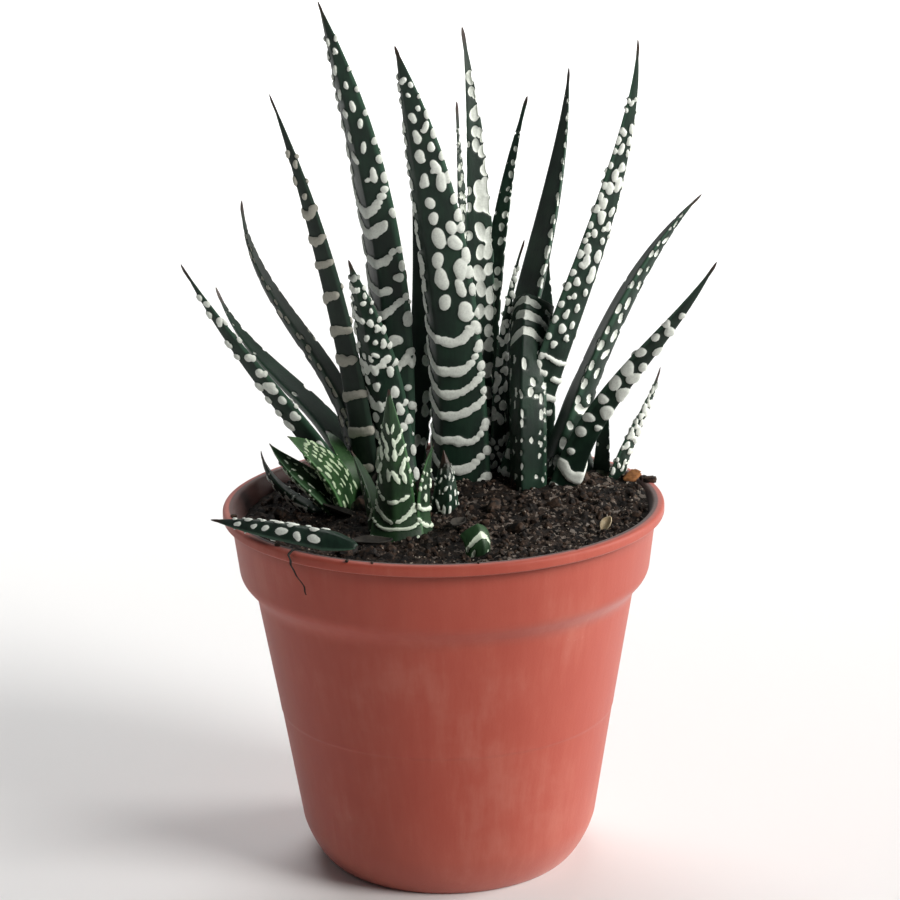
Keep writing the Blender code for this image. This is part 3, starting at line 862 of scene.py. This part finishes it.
inside = rounded_foot(WALL, FLOOR)[::-1]
inside += [(BODY_FOOT - WALL, FOOT_TOP, 0.0), (35.4, 54.6, 1.2), (38.3, 58.6, 1.2),
           (COLLAR_RADIUS - WALL, LIP_TOP - 2.0, 1.0), (40.3, LIP_TOP, 0.5)]
outside = [(LIP_RADIUS, LIP_TOP, 0.8), (LIP_RADIUS, LIP_TOP - 2.0, 0.45),
           (COLLAR_RADIUS, LIP_TOP - 2.2, 0.35), (39.5, SHOULDER, 1.3),
           (36.6, SHOULDER - 3.4, 1.6), (32.95, 33.0, 0.0), (32.66, 31.0, 0.5), (32.47, 30.6, 0.5),
           (BODY_FOOT, FOOT_TOP, 0.0)]
outside += rounded_foot(0.0, 0.0)
underside = [(21.7, 0.0, 0.3), (20.5, 1.2, 0.3), (10.7, 1.2, 0.3), (9.5, 0.0, 0.3), (8.0, 0.0, 0.0)]
profile = softened(inside + outside + underside)
print("rings in the pot:", len(profile))

# %% Extruding the pot
POT_STEPS = 224

deselect_all()
start_radius, start_height = profile[0]
bpy.ops.mesh.primitive_circle_add(vertices=POT_STEPS, radius=start_radius * MM, fill_type="NOTHING",
                                  location=(0, 0, start_height * MM))
pot = bpy.context.object
bpy.ops.object.transform_apply(location=True)
bpy.ops.object.mode_set(mode="EDIT")
bpy.ops.mesh.select_all(action="SELECT")
for (r0, z0), (r1, z1) in zip(profile[:-1], profile[1:]):
    bpy.ops.mesh.extrude_edges_move()
    bpy.ops.transform.resize(value=(r1 / r0, r1 / r0, 1), center_override=(0, 0, 0))
    bpy.ops.transform.translate(value=(0, 0, (z1 - z0) * MM))
bpy.ops.mesh.edge_face_add()
pick_open_edges()
bpy.ops.mesh.edge_face_add()
face_outwards()
print("pot faces:", len(pot.data.polygons))

# %% [markdown]
# Eight round holes drain the channel. A cylinder stands at each of them as a drill, the eight are
# joined, and one Boolean cuts them all.

# %% Drain holes
HOLES = 8
HOLE_RING = 15.6 * MM
drills = []
for k in range(HOLES):
    turn = math.tau * k / HOLES
    deselect_all()
    place = (HOLE_RING * math.cos(turn), HOLE_RING * math.sin(turn), 1.8 * MM)
    bpy.ops.mesh.primitive_cylinder_add(vertices=36, radius=2.5 * MM, depth=8 * MM, location=place)
    drills.append(bpy.context.object)
make_active(drills[0])
for drill in drills:
    drill.select_set(True)
bpy.ops.object.join()
apply_modifier(pot, "BOOLEAN", operation="DIFFERENCE", solver="EXACT", object=drills[0])
bpy.data.objects.remove(drills[0])
make_active(pot)
bpy.ops.object.shade_smooth_by_angle(angle=math.radians(32))
print("pot faces after drilling:", len(pot.data.polygons))

# %% [markdown]
# The plastic is a satin terracotta that has been handled and watered. It has faint vertical flow
# streaks, a dusty bloom that is thicker low down, and a few pale rubbed scuffs. The inside wall above
# the soil is painted nearly black, mottled by the same noise as the scuffs: painted shade. The
# streaks are a noise stretched tall; scuffs are where two noises agree.

# %% Pot material
plastic = Finish("terracotta_plastic", Specular_IOR_Level=0.26, Sheen_Weight=0.18, Sheen_Roughness=0.45)
x, y, z = (plastic.node("ShaderNodeSeparateXYZ", inputs=[plastic.places], output=k) for k in range(3))
flow = plastic.noise(1.0, 3.0, 0.6, plastic.stretched(420, 420, 22))
bloom = plastic.noise(42.0, 5.0, 0.62)
grain = plastic.noise(2400.0, 3.0, 0.7)
fine_scratch = plastic.noise(1.0, 2.0, 0.5, plastic.stretched(260, 260, 2600))
scuffs_and_shade_mottle = plastic.noise(85.0, 6.0, 0.75)
base = plastic.mix(plastic.step(0.6 * bloom + 0.4 * flow, 0.35, 0.68),
                   (0.380, 0.066, 0.042), (0.415, 0.085, 0.055))
dust = plastic.step(bloom + 0.35 * flow, 0.66, 0.98) * 0.20 + plastic.step(z, 0.0, 0.022, 0.16, 0.0)
base = plastic.mix(dust, base, (0.54, 0.24, 0.19))
scuff = plastic.step(scuffs_and_shade_mottle + 0.25 * fine_scratch, 0.80, 0.95) * 0.55
base = plastic.mix(scuff, base, (0.60, 0.33, 0.27))
from_axis = (x * x + y * y) ** 0.5
# Painted shade: the inside wall, from below the soil's top up to the rim, is painted nearly black,
# mottled by the scuff noise.
is_inside = plastic.step(from_axis - 0.18 * z, 0.0282, 0.0286, 1.0, 0.0)
inside_wall_shade = plastic.step(scuffs_and_shade_mottle, 0.18, 0.42) * plastic.step(z, 0.0615, 0.0650) * is_inside
base = plastic.mix(inside_wall_shade * 0.88, base, (0.022, 0.013, 0.010))
plastic.wire(Base_Color=base)
plastic.wire(Roughness=0.40 + 0.22 * bloom + 0.18 * scuff + 0.06 * flow)
plastic.bump(0.4 * grain + 0.5 * flow + 0.12 * fine_scratch, 0.00007)
place_piece(pot, "pot_fine", plastic.material, ["pot"])
print("pot finished")

# %% [markdown]
# ## The soil
#
# Peaty potting mix: nearly black, with lumps, pale grit and fibres, and painted lighter towards the
# right, where the lamps are. The packed soil fills the pot and keeps its place; it only gets the
# finish. Its visible top is a separate crust, a fine grid fitted to a disc, which follows the packed
# soil's height and then adds the crumbs.

# %% Height of the packed soil
LOWEST_TOP = 65.8 * MM
CRUST_LIFT = 0.08 * MM

soil_top = node_triangles("soil")
lie = np.cross(soil_top[:, 1] - soil_top[:, 0], soil_top[:, 2] - soil_top[:, 0])
lie /= np.maximum(np.linalg.norm(lie, axis=1), 1e-15)[:, None]
top_points = soil_top[lie[:, 2] > 0.5].reshape(-1, 3)
top_points = np.unique(np.round(top_points[top_points[:, 2] > LOWEST_TOP], 7), axis=0)
SOIL_RADIUS = float(np.hypot(*top_points[:, :2].T).max())
print("points on the soil's top:", len(top_points), "radius mm:", round(SOIL_RADIUS / MM, 2))


def soil_height(points):
    """Height of the packed soil under each (x, y), from its nearest points."""
    heights = np.empty(len(points))
    for i in range(0, len(points), 4000):
        gap = ((points[i:i + 4000, None] - top_points[None, :, :2]) ** 2).sum(2)
        weight = 1 / (gap + (0.6 * MM) ** 2) ** 2
        heights[i:i + 4000] = (weight * top_points[:, 2]).sum(1) / weight.sum(1)
    return heights


# %% [markdown]
# The grid is squeezed from a square to a disc, which keeps its cells even. Two octaves of noise make
# clods and crumbs, and its edge is then extruded down into the packed soil and filled, so that the
# crust is closed.

# %% Crust
CRUST_CUTS = 250


def crumbs(points):
    """Clods, crumbs and grit as a height for each (x, y)."""
    out = np.empty(len(points))
    for i, (px, py) in enumerate(points):
        clod = noise.noise((px * 210, py * 210, 3.1))
        crumb = abs(noise.noise((px * 620, py * 620, 7.7)))
        grit = abs(noise.noise((px * 1700, py * 1700, 1.3)))
        out[i] = 0.75 * max(0.0, clod) + 1.15 * crumb * (0.6 + 0.8 * max(0.0, clod)) + 0.55 * grit
    return out * MM


deselect_all()
bpy.ops.mesh.primitive_grid_add(x_subdivisions=CRUST_CUTS, y_subdivisions=CRUST_CUTS, size=2)
crust = bpy.context.object
flat = coordinates(crust.data)[:, :2]
disc = np.stack([flat[:, 0] * np.sqrt(1 - flat[:, 1] ** 2 / 2),
                 flat[:, 1] * np.sqrt(1 - flat[:, 0] ** 2 / 2)], 1)
disc *= SOIL_RADIUS
from_wall = SOIL_RADIUS - np.hypot(*disc.T)
high = soil_height(disc) + CRUST_LIFT + crumbs(disc) * np.clip(from_wall / (1.2 * MM), 0.25, 1)
set_coordinates(crust.data, np.column_stack([disc, high]))
bpy.ops.object.mode_set(mode="EDIT")
pick_open_edges()
bpy.ops.mesh.extrude_edges_move(TRANSFORM_OT_translate={"value": (0, 0, -1.6 * MM)})
bpy.ops.mesh.edge_face_add()
face_outwards()
bpy.ops.object.shade_smooth()
print("crust faces:", len(crust.data.polygons))

# %% [markdown]
# Soil is never one brown. A fine noise gives black peat and brown crumbs, and a cell pattern picks a
# few cells out as pale grit. Towards the right, where the lamps are, grit and fibres are painted
# lighter and more plentiful: painted light.

# %% Soil material
earthy = Finish("peat_soil", Specular_IOR_Level=0.25)
x = earthy.node("ShaderNodeSeparateXYZ", inputs=[earthy.places])
peat = earthy.noise(520.0, 6.0, 0.7)
fibre = earthy.noise(1900.0, 4.0, 0.7)
cells = earthy.node("ShaderNodeTexVoronoi", inputs={"Vector": earthy.places, "Scale": 1250.0},
                    output="Color")
pick_cell, hue_cell = (earthy.node("ShaderNodeSeparateColor", inputs=[cells], output=k) for k in (0, 1))
# Painted light, not dryness: this mask grows towards the right, where the lamps are, and gives that side
# lighter fibres and more pale grit.
dry = earthy.step(x + 0.02 * peat, -0.006, 0.022)
earth = earthy.mix(earthy.step(peat, 0.42, 0.66), (0.005, 0.004, 0.0035), (0.032, 0.019, 0.012))
earth = earthy.mix(earthy.step(fibre, 0.55, 0.75) * (0.25 + 0.3 * dry), earth, (0.060, 0.040, 0.028))
grit_colour = earthy.mix(hue_cell, (0.10, 0.066, 0.046), (0.22, 0.19, 0.165))
is_grit = earthy.step(pick_cell + 0.14 * dry, 0.92, 0.95) * (0.25 + 0.6 * dry)
earth = earthy.mix(is_grit, earth, grit_colour)
earthy.wire(Base_Color=earth)
earthy.wire(Roughness=0.72 + 0.25 * fibre)
earthy.bump(peat + 0.8 * fibre + 0.5 * pick_cell, 0.0004)
place_piece(crust, "soil_crust", earthy.material)
coat(nodes["soil"], earthy.material)

# %% [markdown]
# ## Grit and crumbs
#
# What catches the light are loose grains. A grain is an ico sphere whose points are pulled about.
# Three grains are modelled, then copied many times, turned and sized at random, and joined by kind.
# They crowd on the right, where the lamps are, and thin out to the left: painted light, made with
# grains. None lies where a stem stands.

# %% Scattering
def grain_mould(seed):
    """One rough grain, one millimetre across."""
    deselect_all()
    bpy.ops.mesh.primitive_ico_sphere_add(subdivisions=1, radius=0.5 * MM)
    grain = bpy.context.object
    bpy.ops.object.mode_set(mode="EDIT")
    bpy.ops.mesh.select_all(action="SELECT")
    bpy.ops.transform.vertex_random(offset=0.16 * MM, seed=seed)
    bpy.ops.object.mode_set(mode="OBJECT")
    return grain


feet = [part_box(name) for name in nodes if "stem" in name or "leaf" in name]


def is_free(px, py):
    """False inside a stem's or a leaf's foot, where a grain would be hidden anyway."""
    return not any(low[0] < px < high[0] and low[1] < py < high[1] and high[0] - low[0] < 9 * MM
                   for low, high in feet)


def scatter(name, moulds, count, sizes, flatness, lean_right, finish, seed):
    """Copies of the moulds over the soil, joined into one piece."""
    rng = np.random.default_rng(seed)
    spots = []
    while len(spots) < count:
        px, py = rng.uniform(-SOIL_RADIUS, SOIL_RADIUS, 2) * 0.985
        chance = 1 - lean_right * (0.5 - 0.5 * px / SOIL_RADIUS)
        if math.hypot(px, py) < SOIL_RADIUS * 0.98 and rng.random() < chance and is_free(px, py):
            spots.append((px, py))
    spots = np.array(spots)
    height = soil_height(spots) + CRUST_LIFT + crumbs(spots)
    copies = []
    for (px, py), pz in zip(spots, height):
        copy = own_copy(moulds[rng.integers(len(moulds))])
        size = rng.uniform(*sizes) * (0.6 + 0.4 * rng.random() ** 2)
        turn = Matrix.Rotation(rng.uniform(0, math.tau), 4, Vector(rng.normal(0, 1, 3)).normalized())
        squash = Matrix.Diagonal((size, size * rng.uniform(0.7, 1.3), size * flatness, 1))
        copy.data.transform(Matrix.Translation((px, py, pz + 0.12 * size * MM)) @ turn @ squash)
        copies.append(copy)
    make_active(copies[0])
    for copy in copies:
        copy.select_set(True)
    bpy.ops.object.join()
    place_piece(copies[0], name, finish)


def mineral(name, low, high):
    """A grain's finish: each grain a slightly different shade, through a coarse noise."""
    stone = Finish(name, Specular_IOR_Level=0.3)
    shade = stone.noise(900.0, 2.0)
    speck = stone.noise(5200.0, 3.0)
    stone.wire(Base_Color=stone.mix(stone.step(shade, 0.38, 0.62), low, high))
    stone.wire(Roughness=0.85 - 0.12 * speck)
    stone.bump(speck, 0.00012)
    return stone.material


moulds = [grain_mould(seed) for seed in (3, 8, 21)]
pale_grit = mineral("grit_pale", (0.12, 0.080, 0.056), (0.34, 0.29, 0.24))
bark = mineral("bark_crumb", (0.008, 0.006, 0.005), (0.050, 0.028, 0.017))
# Painted light: the pale grit crowds on the lit right side and thins out into the shade on the left.
scatter("grit_pale_grains", moulds, 900, (0.28, 0.75), 0.8, 0.95, pale_grit, 5)
scatter("bark_crumbs", moulds, 750, (0.7, 2.3), 0.75, 0.25, bark, 6)
for mould in moulds:
    bpy.data.objects.remove(mould)
print("soil dressed")

# %% [markdown]
# ## Stems
#
# Little of the stems shows between the leaf feet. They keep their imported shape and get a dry,
# brownish green finish with rings of old leaf scars.

# %% Stem material
scarred = Finish("stem_bark", Specular_IOR_Level=0.3)
rings = scarred.noise(1.0, 4.0, 0.6, scarred.stretched(120, 120, 900))
scarred.wire(Base_Color=scarred.mix(scarred.step(rings, 0.4, 0.62),
                                    (0.020, 0.028, 0.014), (0.085, 0.078, 0.042)))
scarred.wire(Roughness=0.6 + 0.25 * rings)
scarred.bump(rings, 0.0004)
for name, node in nodes.items():
    if "stem" in name:
        coat(node, scarred.material)

# %% [markdown]
# ## What lies on the soil
#
# A few single things make the soil real: a creamy seed husk, an orange-brown chip of bark, a dried
# leaf or two, crumbs that have rolled onto the rim, and a thin root that hangs over it. Each starts
# as a primitive and is bent into its own shape.

# %% Helpers for the dressing
def lay(piece, place, turn):
    """Turns a finished mesh about its own origin and moves it to its place, in its mesh."""
    deselect_all()
    steps = (Matrix.Rotation(math.radians(a), 4, axis) for a, axis in zip(turn, "XYZ"))
    spin = Matrix.Identity(4)
    for step in steps:
        spin = step @ spin
    piece.data.transform(Matrix.Translation(Vector(place) * MM) @ spin)


def on_soil(px, py, above):
    """A place on the crust, from x and y in millimetres."""
    return (px, py, float(soil_height(np.array([[px, py]]) * MM)[0]) / MM + above)


def plain_finish(name, first, second, cells=1500.0):
    finish = Finish(name, Specular_IOR_Level=0.3)
    shade = finish.noise(cells, 4.0, 0.6)
    finish.wire(Base_Color=finish.mix(finish.step(shade, 0.35, 0.65), first, second))
    finish.wire(Roughness=0.8 + 0.1 * shade)
    finish.bump(shade, 0.0001)
    return finish.material


# %% [markdown]
# The husk and the dried leaves are thin shells. A small grid is cupped and pointed at its ends by
# moving its points in code, and thickened with Solidify.

# %% Husk and dried leaves
def shell(length, width, cup, curl, thick):
    """A pointed, cupped scrap, length and width in millimetres, lying along X."""
    deselect_all()
    bpy.ops.mesh.primitive_grid_add(x_subdivisions=18, y_subdivisions=8, size=2)
    scrap = bpy.context.object
    flat = coordinates(scrap.data)
    u, v = flat[:, 0], flat[:, 1]
    outline_at = np.maximum(0.06, 1 - np.abs(u) ** 2.2) ** 0.8
    x, y = u * length / 2, v * width / 2 * outline_at
    z = cup * (v * outline_at) ** 2 + curl * u ** 2 + 0.06 * length * 0.1 * np.sin(5 * u + 3 * v)
    set_coordinates(scrap.data, np.stack([x, y, z], 1) * MM)
    apply_modifier(scrap, "SOLIDIFY", thickness=thick * MM)
    apply_modifier(scrap, "SUBSURF", levels=1, render_levels=1)
    bpy.ops.object.shade_smooth()
    return scrap


husk_finish = plain_finish("husk", (0.55, 0.42, 0.25), (0.75, 0.64, 0.44))
husk = shell(3.2, 2.0, 0.7, 0.3, 0.18)
lay(husk, on_soil(30.4, -16.4, 1.3), (35, -55, 20))
place_piece(husk, "seed_husk", husk_finish)

litter_finish = plain_finish("dry_leaf", (0.010, 0.009, 0.008), (0.032, 0.028, 0.022), 600.0)
DRY_LEAVES = [  # x, y, length, and the turns about X, Y and Z
    (-24.0, 8.0, 11.0, (8, -14, 20)), (-19.5, -2.5, 10.0, (-12, 6, -38)),
    (-13.5, -24.0, 8.0, (10, 4, 12)), (2.5, -17.0, 6.0, (14, 3, 65)),
    (-13.5, 6.0, 15.0, (70, -60, 35)), (-17.5, 10.0, 15.0, (60, -62, 15)),
    (-11.5, 9.0, 14.0, (80, -70, 60)), (-20.0, 12.0, 14.0, (50, -48, -10)),
]
for i, (px, py, size, turn) in enumerate(DRY_LEAVES):
    scrap = shell(size, 0.34 * size, 0.9, 0.8, 0.25)
    lay(scrap, on_soil(px, py, 1.2), turn)
    place_piece(scrap, f"dry_leaf_{i + 1}", litter_finish)
print("husk and dried leaves laid")

# %% [markdown]
# Chips and crumbs are cubes, with their corners bevelled off, roughened and squashed.

# %% Bark chip, crumbs on the rim and clods
RIM_CRUMBS = [  # x, y and size
    (40.6, 9.6, 1.9), (39.4, 11.8, 1.2), (-17.5, -38.2, 0.7), (-13.0, -39.6, 0.5),
    (-30.5, -28.0, 0.8), (-39.8, -9.0, 0.9), (24.0, -33.4, 0.6), (6.0, -40.8, 0.45),
]
CLODS = [
    (-27.0, -10.0, 3.4), (-22.5, -19.0, 2.8), (-31.5, 3.5, 3.0), (-10.0, -27.5, 2.4),
    (13.5, -17.5, 2.6), (21.0, -6.0, 2.2), (-29.0, -19.5, 2.2), (9.5, -8.0, 3.0),
    (-15.0, -1.0, 4.2), (-12.5, -5.0, 3.6), (-9.5, -1.5, 4.4), (-18.5, 11.0, 4.6),
    (-15.5, 16.5, 4.2), (-5.0, 2.0, 3.8), (-14.0, -30.5, 2.6), (-10.5, -32.5, 2.0),
    (-17.5, -29.0, 3.0), (14.5, 4.5, 3.2), (27.0, 8.0, 2.8),
]


def chip(size, seed, flatness):
    """A rough lump, size in millimetres."""
    deselect_all()
    bpy.ops.mesh.primitive_cube_add(size=size * MM)
    piece = bpy.context.object
    bpy.ops.object.mode_set(mode="EDIT")
    bpy.ops.mesh.select_all(action="SELECT")
    bpy.ops.mesh.bevel(offset=0.28 * size * MM, segments=2)
    bpy.ops.mesh.select_all(action="SELECT")
    bpy.ops.mesh.subdivide(number_cuts=1)
    bpy.ops.transform.vertex_random(offset=0.09 * size * MM, seed=seed)
    bpy.ops.transform.resize(value=(1.3, 0.8, flatness), center_override=(0, 0, 0))
    bpy.ops.object.mode_set(mode="OBJECT")
    bpy.ops.object.shade_smooth_by_angle(angle=math.radians(40))
    return piece


orange_bark = plain_finish("orange_bark", (0.16, 0.060, 0.018), (0.30, 0.125, 0.040), 900.0)
bark_chip = chip(3.0, 4, 0.35)
lay(bark_chip, on_soil(37.2, 10.5, 1.2), (14, -20, 50))
place_piece(bark_chip, "bark_chip", orange_bark)

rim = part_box("pot")[1][2] / MM
for i, (px, py, size) in enumerate(RIM_CRUMBS):
    crumb = chip(size, 10 + i, 0.7)
    lay(crumb, (px, py, rim + 0.22 * size), (0, 0, 40 * i))
    place_piece(crumb, f"rim_crumb_{i + 1}", bark)

for i, (px, py, size) in enumerate(CLODS):
    clod = chip(size, 30 + i, 0.75)
    lay(clod, on_soil(px, py, 0.55 + 0.1 * size), (10 * i, 25, 37 * i))
    place_piece(clod, f"clod_{i + 1}", bark)

# %% [markdown]
# The root is a thin cylinder subdivided along its length and led over the rim by moving its rings.

# %% Root over the rim
ROOT_LINE = [(-23.5, -26.5, 69.9), (-26.5, -30.4, 71.6), (-27.6, -32.0, 72.0), (-28.2, -32.8, 71.1),
             (-27.9, -32.9, 69.4), (-26.9, -32.7, 67.2), (-25.6, -32.9, 65.2), (-25.3, -32.9, 63.6)]
ROOT_RINGS = 40
ROOT_WOBBLE = 0.25

deselect_all()
bpy.ops.mesh.primitive_cylinder_add(vertices=8, radius=1, depth=1, location=(0, 0, 0.5))
root = bpy.context.object
bpy.ops.object.transform_apply(location=True)
pick(root, lambda a, b: abs(a.z - b.z) > 1e-6, "EDGE")
bpy.ops.mesh.subdivide(number_cuts=ROOT_RINGS - 1)
bpy.ops.object.mode_set(mode="OBJECT")
local = coordinates(root.data)
line = np.array(ROOT_LINE)
at = np.linspace(0, 1, len(line))
wobble = np.array([[noise.noise((k * 9.0, 2.0, 5.0)), noise.noise((k * 9.0, 8.0, 1.0)), 0]
                   for k in local[:, 2]]) * ROOT_WOBBLE
centre = np.stack([np.interp(local[:, 2], at, line[:, k]) for k in range(3)], 1) + wobble
outward = centre * (1, 1, 0) / np.linalg.norm(centre[:, :2], axis=1)[:, None]
sideways = np.stack([-outward[:, 1], outward[:, 0], 0 * outward[:, 0]], 1)
thickness = (0.30 - 0.16 * local[:, 2])[:, None]
set_coordinates(root.data, (centre + sideways * local[:, [0]] * thickness
                            + (outward + [0, 0, 0.6]) * local[:, [1]] * thickness) * MM)
make_active(root)
bpy.ops.object.mode_set(mode="EDIT")
face_outwards()
bpy.ops.object.shade_smooth()
place_piece(root, "root_over_rim", litter_finish)
print("dressing done")

# %% Clearing the selection
deselect_all()
